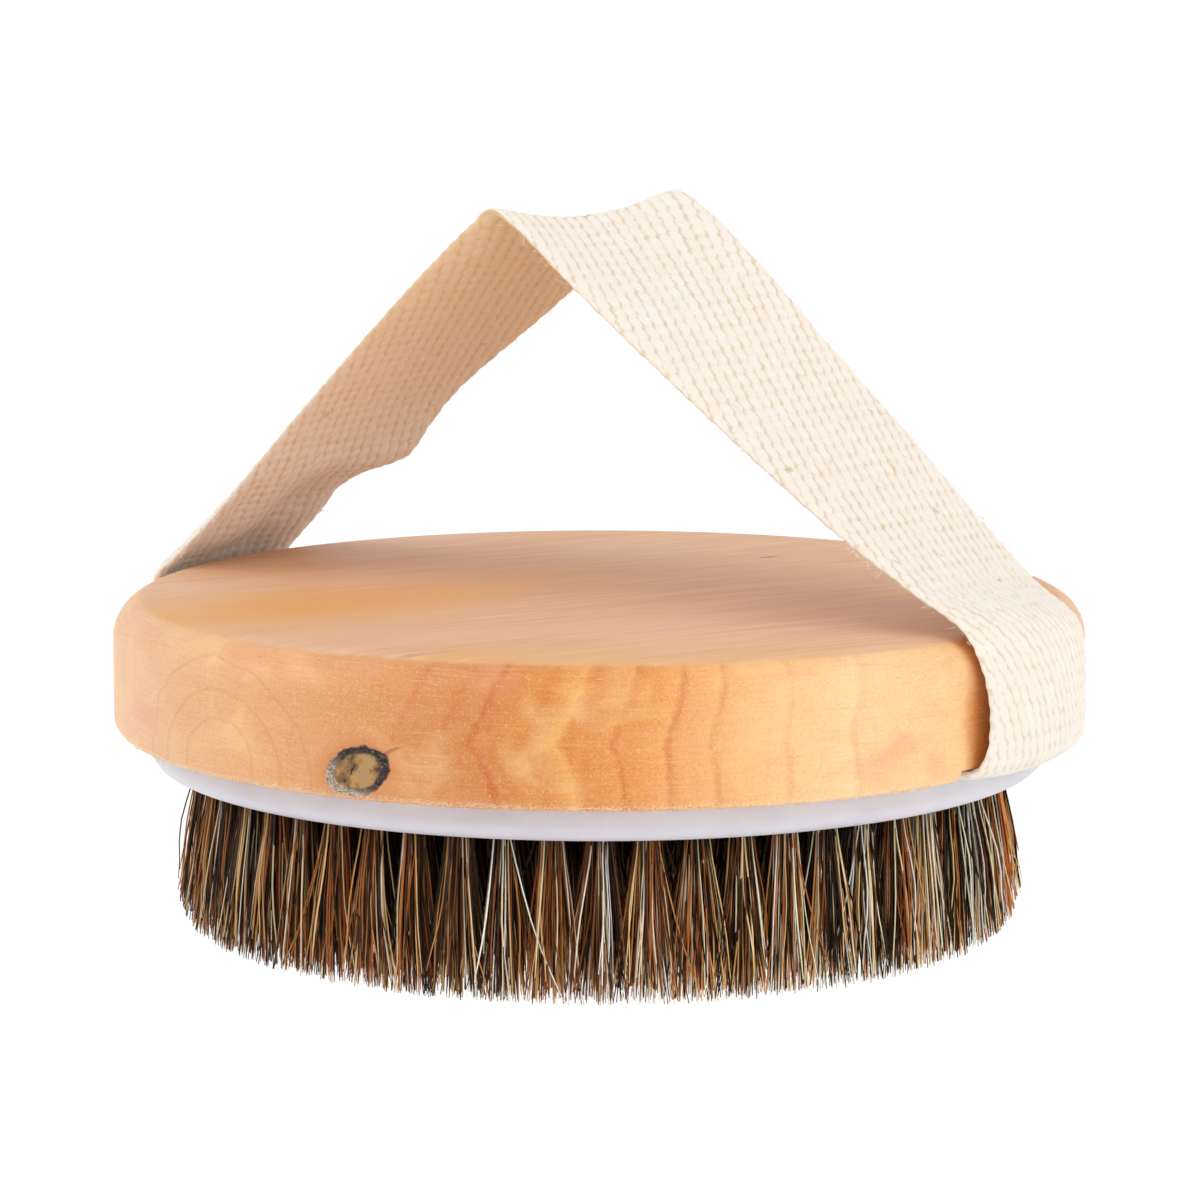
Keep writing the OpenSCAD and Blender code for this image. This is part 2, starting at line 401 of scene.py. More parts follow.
def top_colour(t, mm, streak, thread):
    """The top: streaks along the fibres, a paler middle, an ochre smear and a flaw."""
    top = t.ramp(streak, [(0.25, (210, 154, 110)), (0.45, (221, 171, 132)),
                          (0.58, (228, 182, 148)), (0.78, (238, 202, 174))])
    cloud = t.noise(t.place((0.018, 0.05, 0.05), GRAIN), 1, 2, 0.5, 0.6)
    top = t.tint(top, cloud, 0.50, 0.66, 0.45, (222, 188, 166))
    top = t.tint(top, cloud, 0.48, 0.34, 0.5, (230, 172, 104))
    smear = t.wobble(t.value("ochre"), cloud, 1.2)
    top = t.wash(top, smear, 0.75, (226, 162, 84), clamp=True)
    top = t.tint(top, thread, 0.60, 0.78, 0.28, (244, 214, 180))
    top = t.tint(top, thread, 0.38, 0.24, 0.30, (180, 122, 82))
    flaw = t.add("VectorMath", {0: t.place((0.5, 1.3, 1), GRAIN), 1: TOP_FLAW},
                 operation="DISTANCE").outputs["Value"]
    flaw = t.math("MULTIPLY_ADD", t.noise(mm, 1.6), 0.8, flaw)
    return t.tint(top, flaw, 1.25, 0.75, 0.55, (104, 62, 52))


def knot_colour(t, mm, edge):
    """The knot: a ring of bark, paler on its lower left, round a brown and ochre heart."""
    heart = t.ramp(t.noise(mm, 0.42, 3, 0.6), [
        (0.36, (64, 48, 38)), (0.45, (134, 98, 60)), (0.54, (182, 138, 80)),
        (0.68, (168, 140, 98))])
    pits = t.noise(t.place((1.3, 1.3, 1.0)), 1)
    heart = t.mix(t.levels(pits, 0.62, 0.68), heart, srgb(34, 26, 22))
    crumbs = t.noise(mm, 3.6, 3, 0.7)
    bark = t.ramp(crumbs, [
        (0.44, (34, 26, 24)), (0.60, (70, 54, 46)), (0.74, (186, 168, 150))])
    pale = t.ramp(crumbs, [
        (0.36, (92, 76, 66)), (0.50, (168, 150, 132)), (0.64, (214, 200, 184))])
    return t.mix(t.levels(edge, 0.78, 0.66), t.mix(t.value("rim"), bark, pale), heart)


def wood_material():
    t = Tree("turned_wood")
    mm = t.place()
    speck = t.noise(mm, 4.6, 3, 0.65)
    streak = t.noise(t.place((0.06, 0.9, 0.9), GRAIN), 1, 5, 0.62, 0.4)
    thread = t.noise(t.place((0.35, 3.2, 3.2), GRAIN), 1, 3, 0.6)
    wood = t.mix(t.value("side"), top_colour(t, mm, streak, thread), side_colour(t, mm, speck))

    # the knot, with a warm halo, darker wood to its right and a crack
    edge = t.wobble(t.value("knot"), t.noise(mm, 1.1, 3, 0.6), 0.30)
    flame = t.noise(t.place((0.30, 0.30, 1.5)), 1, 3, 0.6, 0.3)
    flame = t.math("MULTIPLY", t.value("flame"), t.levels(flame, 0.36, 0.56), clamp=True)
    wood = t.wash(wood, flame, 0.8, (172, 96, 54))
    wood = t.tint(wood, edge, 1.7, 1.0, 0.6, (204, 124, 78))
    wood = t.tint(wood, t.value("crack"), 1.0, 0.3, 0.8, (150, 70, 36))
    wood = t.mix(t.levels(edge, 1.05, 0.98), wood, knot_colour(t, mm, edge))

    # a pale, slightly torn lower edge
    torn = t.math("MULTIPLY", t.value("torn"), t.levels(speck, 0.42, 0.60))
    wood = t.wash(wood, torn, 0.6, (252, 226, 188))
    rough = t.math("MULTIPLY_ADD", streak, 0.25, 0.36)
    relief = t.math("MULTIPLY_ADD", thread, 0.6, t.math("MULTIPLY", speck, 0.4))
    t.set(Base_Color=wood, Roughness=rough, Normal=t.bump(relief, 0.04, 0.5),
          Specular_IOR_Level=0.35)
    return t.material


def plate_material():
    t = Tree("moulded_plate")
    cloud = t.noise(t.place((0.12, 0.12, 0.3)), 1, 3)
    colour = t.ramp(cloud, [(0.35, (204, 201, 208)), (0.65, (214, 211, 217))])
    swirl = t.noise(t.place((0.5, 0.5, 2.4)), 1, 3, 0.6)
    colour = t.tint(colour, swirl, 0.5, 0.8, 0.2, (226, 220, 220))
    t.set(Base_Color=colour, Roughness=t.math("MULTIPLY_ADD", cloud, 0.2, 0.30),
          Subsurface_Weight=0.35, Subsurface_Radius=(0.9, 0.8, 0.9), Subsurface_Scale=0.002,
          Normal=t.bump(t.noise(t.place(), 3.5, 3), 0.02, 0.3))
    return t.material


def webbing_material():
    t = Tree("cotton_webbing")
    mm = t.place()
    fibre = t.noise(mm, 3.4, 3, 0.65)
    # darker where the yarns lie low: painted shade in the gaps of the weave
    colour = t.mix(t.levels(t.value("raised"), 0.0, 0.55), srgb(220, 199, 171),
                   srgb(238, 229, 219))
    colour = t.wash(colour, t.value("tint"), 0.25, (236, 216, 188))
    colour = t.tint(colour, fibre, 0.52, 0.76, 0.5, (247, 239, 226))
    # a warm wash on the back face high on the legs: painted bounce light from the wood
    colour = t.wash(colour, t.value("inner"), 0.60, (228, 188, 126))
    colour = t.tint(colour, t.noise(mm, 0.42), 0.70, 0.78, 0.6, (196, 160, 104))
    colour = t.mix(t.value("speck"), colour, srgb(58, 52, 50))
    t.set(Base_Color=colour, Roughness=t.math("MULTIPLY_ADD", fibre, 0.15, 0.80),
          Sheen_Weight=0.25, Sheen_Roughness=0.5, Specular_IOR_Level=0.2,
          Normal=t.bump(fibre, 0.05, 0.5))
    return t.material


def bristle_material(name, shaded_to, shade):
    """Hair that gets darker towards its root, from a share of its length on: painted shade among the
    packed hairs.
    """
    t = Tree(name)
    streak = t.noise(t.place((2.0, 2.0, 0.5)), 1)
    colour = t.mix(t.math("MULTIPLY", t.levels(streak, 0.35, 0.7), 0.35), t.colour("shade"),
                   srgb(150, 100, 62), "SOFT_LIGHT")
    # painted shade towards the root
    colour = t.tint(colour, t.value("along"), shaded_to, 0.1, shade, (26, 19, 16))
    t.set(Base_Color=colour, Roughness=t.math("MULTIPLY_ADD", streak, 0.2, 0.28),
          Specular_IOR_Level=0.3, Specular_Tint=srgb(255, 222, 186))
    return t.material


def fluff_material():
    t = Tree("loose_fibre")
    colour = t.mix(t.noise(t.place(), 1.5), t.colour("shade"), srgb(255, 246, 228), "SCREEN")
    colour = t.mix(0.25, t.colour("shade"), colour)
    t.set(Base_Color=colour, Roughness=0.7, Specular_IOR_Level=0.2)
    return t.material


def steel_material():
    t = Tree("bright_steel")
    stain = t.noise(t.place(), 0.8, 4, 0.6)
    colour = t.ramp(stain, [(0.35, (176, 176, 180)), (0.65, (206, 206, 208))])
    scratch = t.noise(t.place((0.6, 6.0, 3.0)), 1, 3)
    t.set(Base_Color=colour, Roughness=t.math("MULTIPLY_ADD", stain, 0.25, 0.22),
          Metallic=1.0, Normal=t.bump(scratch, 0.02, 0.3))
    return t.material


def floor_material():
    t = Tree("pale_floor")
    dust = t.noise(t.place((0.02, 0.02, 0.02)), 1)
    colour = t.ramp(dust, [(0.3, (96, 96, 96)), (0.7, (100, 100, 100))])
    t.set(Base_Color=colour, Roughness=0.9, Specular_IOR_Level=0.0,
          Emission_Color=(1, 1, 1, 1), Emission_Strength=FLOOR_GLOW)
    return t.material


# ---- wooden block

RING_POINT_Z = 28.7  # height where the growth rings turn back
KNOT_X = BLOCK_R * math.cos(math.radians(-84.9))  # middle of the knot, across and up
KNOT_Z = 25.2
KNOT_HALF = (3.65, 2.60)  # half width and half height
CRACK_FROM = (3.0, 1.6)  # start of the crack, right of and above the knot's middle
FAR = 9.0  # value of a distance field where its mark isn't
ARCH_MIDDLE = (-45.0, 23.5)  # middle of the oval growth rings: place along the side, height
ARCH_HALVES = ((5.5, 5.0), (9.5, 8.2), (13.5, 11.4))
AROUND = 960  # points round the block
STRIP_POINTS = AROUND // 3  # the side is cut into three strips for its coordinates
POLE_R = 0.6  # radius of the fan of triangles at each end of the outline
UNDER_ROWS = 18  # rows of the outline under the plate


def arc_points(centre_r, centre_z, radius, start, end, count):
    """An arc of the outline between two angles in degrees, without its first point."""
    turn = np.radians(np.linspace(start, end, count)[1:])
    return list(zip(centre_r + radius * np.cos(turn), centre_z + radius * np.sin(turn)))


def block_profile():
    """Radius and height of the block's outline, from the top's middle to the bottom's."""
    wall_top, wall_low = TOP_Z - TOP_ROUND, BLOCK_Z + LOW_ROUND
    top = [(r, TOP_Z) for r in np.linspace(POLE_R, BLOCK_R - TOP_ROUND, 14)]
    edge = arc_points(BLOCK_R - TOP_ROUND, wall_top, TOP_ROUND, 90, 0, 12)
    wall = [(BLOCK_R, z) for z in np.linspace(wall_top, wall_low, 37)[1:]]
    low = arc_points(BLOCK_R - LOW_ROUND, wall_low, LOW_ROUND, 0, -90, 9)
    under = [(r, BLOCK_Z) for r in np.linspace(BLOCK_R - LOW_ROUND, PLATE_R - 2, 12)[1:]]
    under += [(r, BLOCK_Z) for r in np.linspace(PLATE_R - 2, POLE_R, UNDER_ROWS)[1:]]
    return np.array(top + edge + wall + low + under)


def cut_rebates(angle, radius, z):
    """Moves points so that the underside has a crisp rebate for each strap end."""
    half_wall = 0.0006  # half the angle that a wall of the rebate takes up
    for row in range(len(radius)):
        r = radius[row]
        if z[row, 0] > REBATE_Z + 0.01 or r < REBATE_X - 1:
            continue
        for side in (1, -1):
            for y in REBATE_Y:
                edge = math.asin(y / r)
                edge = edge if side > 0 else math.pi - edge
                inward = -side * (1 if y > 0 else -1)
                k = round(edge * AROUND / math.tau) % AROUND
                angle[row, k] = edge - inward * half_wall
                angle[row, (k + inward) % AROUND] = edge + inward * half_wall
    x = radius[:, None] * np.cos(angle)
    y = radius[:, None] * np.sin(angle)
    inside = (np.abs(x) > REBATE_X) & (y > REBATE_Y[0]) & (y < REBATE_Y[1])
    return np.where(inside & (z < REBATE_Z), REBATE_Z, z)


def ring_field(arc, z):
    """Where a point of the side lies across the growth rings, in millimetres."""
    above = np.sqrt(np.maximum(z - RING_POINT_Z, 0) ** 2 + 0.09) - 0.3
    below = np.sqrt(np.maximum(RING_POINT_Z - z, 0) ** 2 + 0.02) - 0.14
    places = [-60, -30, -18, -10, -4, 2, 7, 12, 20, 30, 60]
    top = np.interp(arc, places, [0, 2.0, 3.4, 3.5, 3.7, 2.9, 2.5, 1.9, 0.9, 2.2, 0])
    low = np.interp(arc, places, [0, 2.0, 3.6, 3.1, 2.9, 1.6, 0.7, 0.9, 0.4, 1.6, 0])
    return arc - top * (above / 7.3) ** 0.95 - low * (below / 6.7) ** 0.5


def knot_fields(x, z, on_front):
    """Distances from the knot (1 at its rim) and from the crack beside it, and shares of
    the pale part of the rim and of the dark wood on the right."""
    dx, dz = (x - KNOT_X) / KNOT_HALF[0], (z - KNOT_Z) / KNOT_HALF[1]
    away = np.where(on_front, np.hypot(dx - 0.10 * dz, dz - 0.16 * dx), FAR)
    cx, cz = x - KNOT_X - CRACK_FROM[0], z - KNOT_Z - CRACK_FROM[1]
    run = np.clip((cx * 0.8 + cz * 0.6) / 3.0, 0, 1)
    off = np.hypot(cx - run * 2.4, cz - run * 1.8 - 0.2 * np.sin(run * 5))
    crack = np.where(on_front, off / (0.38 * (1.2 - run)), FAR)
    rim = step(-0.1, 0.9, -0.75 * dx - 0.65 * dz)
    flame = step(0.8, 1.3, dx) * step(4.2, 1.6, dx) * np.exp(-((z - KNOT_Z - 1.2) / 1.9) ** 2)
    return away, crack, np.where(on_front, rim, 0), np.where(on_front, flame, 0)


def ochre_field(x, y):
    """The stained streak along the fibres, on the front left of the top."""
    along = x * math.cos(GRAIN) + y * math.sin(GRAIN)
    aside = -x * math.sin(GRAIN) + y * math.cos(GRAIN)
    return np.exp(-((aside - 6) / 12) ** 2) * step(16, -22, along)


def arch_field(arc, z):
    """Distance from the nearest of the oval growth rings on the left of the front."""
    nearest = np.full_like(arc, FAR)
    for wide, tall in ARCH_HALVES:
        off = np.hypot((arc - ARCH_MIDDLE[0]) / wide, (z - ARCH_MIDDLE[1]) / tall) - 1
        off *= (wide + tall) / 2
        nearest = np.where(np.abs(off) < np.abs(nearest), off, nearest)
    return nearest


SQUARE = 154.0  # side of the square that holds the block's coordinates, in mm
TOP_AT = 58.3  # middle of the top's disc in it, across and up
UNDER_AT = SQUARE - 18.5  # middle of the underside's disc
UNDER_SCALE = 0.33  # size of the underside's disc there
STRIP_AT = (117, 136)  # where the strips of the side start


def block_corners(outline):
    """Coordinates of the block's quads and fans: the top as a disc, the side as strips."""
    along = travelled(outline) + outline[0, 0]
    side_start = np.argmax(outline[:, 1] <= TOP_Z - TOP_ROUND + 0.01)
    side_end = len(outline) - UNDER_ROWS
    row, column = np.meshgrid(np.arange(len(outline) - 1), np.arange(AROUND), indexing="ij")
    rows = join(row, row + 1, row + 1, row)
    columns = join(column, column, column + 1, column + 1)
    turn = math.tau * columns / AROUND
    top = TOP_AT + polar(along[rows], turn)
    under = UNDER_AT + polar(outline[rows, 0] * UNDER_SCALE, turn)
    part = (column // STRIP_POINTS)[..., None]
    local = (columns - part * STRIP_POINTS) * math.tau * BLOCK_R / AROUND + 0.5
    down = along[rows] - along[side_start]
    lying = join(local, STRIP_AT[0] + down)
    standing = join(np.where(part == 1, STRIP_AT[0], STRIP_AT[1]) + down, local)
    side = np.where((part == 0)[..., None], lying, standing)
    zone = row[..., None, None]
    uv = np.where(zone < side_start, top, np.where(zone < side_end, side, under)) / SQUARE

    ends = turn[0, :, 0], turn[0, :, 2]
    fans = [(centre + np.stack([polar(0, a), polar(radius, a), polar(radius, b)], 1)) / SQUARE
            for centre, radius, (a, b) in ((TOP_AT, along[0], ends),
                                           (UNDER_AT, outline[-1, 0] * UNDER_SCALE, ends[::-1]))]
    return [uv.reshape(-1, 4, 2), *fans]


def dents(rng, x, y, z, radius, knot, crack, torn):
    """How far the block stands out: sanding, the knot's rim and heart, crack, torn edge."""
    flat = join(x, y, z).reshape(-1, 3)
    slow = wave_noise(rng, flat, 26).reshape(x.shape) * 0.06
    fast = wave_noise(rng, flat, 1.6, 30).reshape(x.shape)
    dent = slow * step(30, 50, radius)
    dent -= 0.28 * np.exp(-((knot - 0.92) / 0.13) ** 2)
    dent -= (0.16 + 0.16 * fast) * step(0.85, 0.6, knot)
    dent -= 0.14 * np.exp(-(crack * 0.8) ** 2)
    return slow, dent + 0.04 * fast * torn


def wood_block():
    rng = np.random.default_rng(SEED)
    outline = block_profile()
    rows = len(outline)
    angle = np.tile(math.tau * np.arange(AROUND) / AROUND, (rows, 1))
    z = cut_rebates(angle, outline[:, 0], np.repeat(outline[:, 1:], AROUND, 1))
    radius = np.repeat(outline[:, :1], AROUND, 1)
    x, y = radius * np.cos(angle), radius * np.sin(angle)

    arc = ((angle - FRONT + math.pi) % (math.tau) - math.pi) * BLOCK_R
    arc = np.where(np.abs(arc) > BAND_SPAN, np.sign(arc) * 2 * BAND_SPAN - arc, arc)
    side = step(BLOCK_R - 3.4, BLOCK_R - 2.4, radius)
    on_front = (y < 0) & (radius > BLOCK_R - 3)
    knot, crack, rim, flame = knot_fields(x, z, on_front)

    torn = np.exp(-((z - BLOCK_Z - 0.3) / 0.5) ** 2) * step(BLOCK_R - 2.2, BLOCK_R - 1, radius)
    slow, dent = dents(rng, x, y, z, radius, knot, crack, torn)
    outer = step(BLOCK_R - 3, BLOCK_R - 1, radius)
    scale = 1 + dent * outer / BLOCK_R
    x, y = x * scale, y * scale
    z = z + 0.03 * slow * (radius < BLOCK_R - 2) * (z > TOP_Z - 1)

    points = join(x, y, z).reshape(-1, 3)
    poles = np.array([[0, 0, TOP_Z], [0, 0, BLOCK_Z]])
    index = np.arange(rows * AROUND).reshape(rows, AROUND)
    here, there = index[:-1], index[1:]
    quads = join(here, there, np.roll(there, -1, 1), np.roll(here, -1, 1))
    first = rows * AROUND  # number of the first of the two poles
    top_fan = join(np.full(AROUND, first), index[0], np.roll(index[0], -1))
    low_fan = join(np.full(AROUND, first + 1), np.roll(index[-1], -1), index[-1])
    points = np.vstack([points, poles])
    faces, uv = outward(points, [quads.reshape(-1, 4), top_fan, low_fan],
                        block_corners(outline))

    fields = {"ring": ring_field(arc, z), "side": side, "knot": knot, "crack": crack,
              "rim": rim, "flame": flame, "arch": arch_field(arc, z),
              "ochre": ochre_field(x, y), "torn": torn}
    at_poles = {"knot": FAR, "crack": FAR, "arch": FAR}
    values = {key: np.append(field.ravel(), [at_poles.get(key, 0.0)] * 2)
              for key, field in fields.items()}
    made = build("wood_block_turned", points, faces, wood_material(), values, None, uv)
    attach(made, "brush")
    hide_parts("wood_block")
    return made


def wood_splinters(material):
    """Loose fibres that the turning left on the lower edge and the top edge."""
    rng = np.random.default_rng(SEED + 1)
    count, steps = 420, 5
    low = rng.uniform(size=count) < 0.85  # most are on the lower edge
    angle = rng.uniform(0, math.tau, count)
    r = BLOCK_R - np.where(low, rng.uniform(0.1, 1.1, count), rng.uniform(0.2, 1.5, count))
    lift = [np.sqrt(np.maximum(0, edge ** 2 - (r - BLOCK_R + edge) ** 2))
            for edge in (LOW_ROUND, TOP_ROUND)]
    z = np.where(low, BLOCK_Z + LOW_ROUND - lift[0], TOP_Z - TOP_ROUND + lift[1])
    y = r * np.sin(angle)
    keep = (y < REBATE_Y[0] - 1) | (y > REBATE_Y[1] + 1)
    angle, r, z, low = angle[keep], r[keep], z[keep], low[keep]
    count = len(angle)
    length = rng.uniform(0.4, 1.5, count)
    run = np.linspace(0, 1, steps)
    way = rng.choice([-1, 1], count)[:, None]
    turn = angle[:, None] + length[:, None] * (run - 0.5) * way / BLOCK_R
    out = r[:, None] + 0.02 + run ** 2 * rng.uniform(0.05, 0.35, count)[:, None]
    up = z[:, None] + run ** 1.5 * rng.normal(0, 0.18, count)[:, None]
    up = up + np.where(low, -0.03, 0.04)[:, None]
    lines = join(out * np.cos(turn), out * np.sin(turn), up)
    radius = rng.uniform(0.02, 0.045, count)[:, None] * (1 - 0.7 * run)
    colours = [(250, 226, 190), (232, 186, 132), (255, 240, 214)]
    made = fibres("wood_splinters", lines, radius, rng, colours, material)
    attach(made, "brush")


# ---- hand strap

CROWN_LOW, CROWN_HIGH = box_mm("strap_crown")
STRAP_W = CROWN_HIGH[1] - CROWN_LOW[1]
TAB_Z = BLOCK_Z + 0.75  # middle of the webbing under the block
HALF_CORE = 0.40  # half the webbing's thickness between its raised yarns
YARN_RISE = 0.26  # how far a yarn stands out of it
YARN_WIDE = 0.77  # one warp yarn to the next
YARN_LONG = 3.48  # one float of a yarn to its next
YARN_SLANT = -0.22  # how the floats lean across the strap
FLOAT_HALF = (1.20, 0.76)  # half the length and half the width of a float
YARN_TABLE = (256, 128)  # yarns along and across that get random values of their own
DARK_FIBRE = (43.5, 3.4, 0.28)  # its place from the right end and from the middle, its radius

# the webbing's two edges between its ends, from left to right. The strap lands a little
# nearer one side, its legs twist, and the far edge has a slack wave on the left
NEAR_EDGE = [(-52.4, -12.8, TAB_Z), (-54.1, -12.7, 22.9), (-54.6, -12.6, 24.3), (-54.7, -12.5, 31.0),
             (-54.2, -12.4, 35.6), (-51.0, -12.3, 38.5), (-46.7, -12.3, 42.3), (-31.8, -12.7, 57.1),
             (-15.4, -13.1, 72.7), (-8.6, -13.3, 78.5), (-5.8, -13.4, 80.4), (-3.0, -13.4, 79.0),
             (5.5, -13.4, 71.9), (21.6, -12.9, 59.1), (38.0, -12.5, 47.0), (46.6, -12.3, 41.6),
             (52.6, -12.3, 38.0), (55.1, -12.3, 33.4), (55.9, -12.4, 27.8), (55.2, -12.6, 24.2),
             (54.1, -12.7, 23.0), (52.4, -12.8, TAB_Z)]
FAR_EDGE = [(-51.6, 13.6, TAB_Z), (-53.2, 14.0, 23.0), (-53.9, 14.2, 24.4), (-54.6, 14.6, 31.0),
            (-54.6, 14.8, 35.8), (-51.9, 14.8, 38.6), (-48.8, 14.7, 41.6), (-45.6, 14.7, 45.0),
            (-41.1, 14.5, 47.2), (-36.0, 14.4, 48.9), (-33.4, 14.4, 52.2), (-29.0, 14.2, 57.0),
            (-13.2, 13.8, 69.1), (-2.3, 13.6, 78.8), (1.9, 13.6, 81.6), (5.9, 13.6, 79.6),
            (12.3, 13.8, 74.1), (23.4, 14.1, 63.1), (32.4, 14.3, 54.5), (40.9, 14.3, 46.1),
            (46.0, 13.8, 41.6), (48.8, 13.4, 39.3), (50.7, 13.1, 38.1), (52.6, 12.9, 37.0),
            (53.9, 12.8, 35.5), (54.4, 12.8, 33.0), (54.5, 12.8, 27.5), (54.4, 12.8, 24.3),
            (53.7, 12.8, 22.95), (52.0, 12.9, TAB_Z)]
NEAR_PEAK = 11  # the point of each edge, counted from its end, on the fold at the top
FAR_PEAK = 15
LEFT_ROWS = 400
RIGHT_ROWS = 440
ACROSS = 113  # points across each face


def edge_rows(points, peak, end_y):
    """The edge, with its ends under the block, at even steps on each side of its peak."""
    curve = smooth_path([(-TAB_X, end_y, TAB_Z), *points, (TAB_X, end_y, TAB_Z)])
    at = peak * PER_SPAN
    return np.vstack([even(curve[:at + 1], LEFT_ROWS)[:-1], even(curve[at:], RIGHT_ROWS)])


def clear_of_block(p, gap):
    """Pushes points out until they are the gap away from the block's top and side."""
    r = np.hypot(p[..., 0], p[..., 1])
    centre_r, centre_z = BLOCK_R - TOP_ROUND, TOP_Z - TOP_ROUND
    dr, dz = np.maximum(r - centre_r, 0), np.maximum(p[..., 2] - centre_z, 0)
    away = np.hypot(dr, dz)
    near = (away > 0) & (away < TOP_ROUND + gap) & (p[..., 2] > BLOCK_Z + 1.6)
    grow = np.where(near, (TOP_ROUND + gap) / np.maximum(away, 0.01), 1.0)
    new_r = np.where(r > centre_r, centre_r + dr * grow, r)
    out = p.copy()
    out[..., :2] *= (new_r / np.maximum(r, 0.01))[..., None]
    out[..., 2] = np.where(p[..., 2] > centre_z, centre_z + dz * grow, p[..., 2])
    return out


def soften(p, passes):
    """Evens out a grid of points, with its rim held."""
    for _ in range(passes):
        inner = (p[2:, 1:-1] + p[:-2, 1:-1] + p[1:-1, 2:] + p[1:-1, :-2]) / 4
        p[1:-1, 1:-1] = 0.5 * p[1:-1, 1:-1] + 0.5 * inner
    return p


def strap_middle():
    """The webbing's middle surface as a grid, with its rows along the strap."""
    near = edge_rows(NEAR_EDGE, NEAR_PEAK, -13)
    far = edge_rows(FAR_EDGE, FAR_PEAK, 13)
    rows = len(near)
    v = np.linspace(-1, 1, ACROSS)[None, :, None]
    p = near[:, None] * (1 - v) / 2 + far[:, None] * (1 + v) / 2
    reach = [np.hypot(edge[:, 0], edge[:, 1])[:, None] for edge in (near, far)]
    reach = reach[0] * (1 - v[..., 0]) / 2 + reach[1] * (1 + v[..., 0]) / 2
    round_x = np.sign(p[..., 0]) * np.sqrt(np.maximum(reach ** 2 - p[..., 1] ** 2, 0))
    hug = step(47, 52, np.abs(p[..., 0])) * step(44, 36, p[..., 2])
    p[..., 0] += hug * (round_x - p[..., 0])
    along = np.gradient(p.mean(1), axis=0)
    normal = unit(join(-along[:, 2], np.zeros(rows), along[:, 0]))
    i = np.arange(rows)
    # a slight arch across, turned into a dip at the peak, and a shallow buckle on the left
    camber = 0.5 - 2.7 * np.exp(-((i - LEFT_ROWS) / 60.0) ** 2)
    camber = camber * step(20, 120, i) * step(rows - 20, rows - 120, i)
    p += normal[:, None] * camber[:, None, None] * (1 - v ** 2)
    buckle = 0.55 * np.exp(-((i - 165) / 34.0) ** 2)
    p += normal[:, None] * buckle[:, None, None] * np.sin(2.2 * math.pi * v + 0.6)
    for _ in range(6):
        p = clear_of_block(p, 0.78)
        p = soften(p, 4)
    return clear_of_block(p, 0.72)


def yarn_relief(s, w, slant, phase):
    """Height from 0 to 1 and tint of the weave, at s along and w across it."""
    rng = np.random.default_rng(SEED + 2 + int(phase * 2))
    table = rng.uniform(-1, 1, (5, *YARN_TABLE))
    best, tint = np.zeros_like(s), np.zeros_like(s)
    column = np.round(w / YARN_WIDE)
    for dc in (-1, 0, 1):
        c = column + dc
        shift = YARN_LONG * ((c / 2) % 1.0 + phase)
        row = np.round((s - shift) / YARN_LONG)
        for dr in (-1, 0, 1):
            k = row + dr
            a, b = (k.astype(int) + 40) % YARN_TABLE[0], (c.astype(int) + 64) % YARN_TABLE[1]
            ds = s - shift - k * YARN_LONG - 0.16 * table[0, a, b]
            dw = w - c * YARN_WIDE - slant * ds - 0.05 * table[1, a, b]
            long_half = FLOAT_HALF[0] + 0.14 * table[2, a, b]
            wide_half = FLOAT_HALF[1] + 0.05 * table[3, a, b]
            inside = 1 - (ds / long_half) ** 2 - (dw / wide_half) ** 2
            h = np.maximum(inside, 0) ** 0.6 * (1 + 0.16 * table[4, a, b])
            tint = np.where(h > best, 0.5 + 0.5 * table[1, a, b], tint)
            best = np.maximum(best, h)
    return best, tint


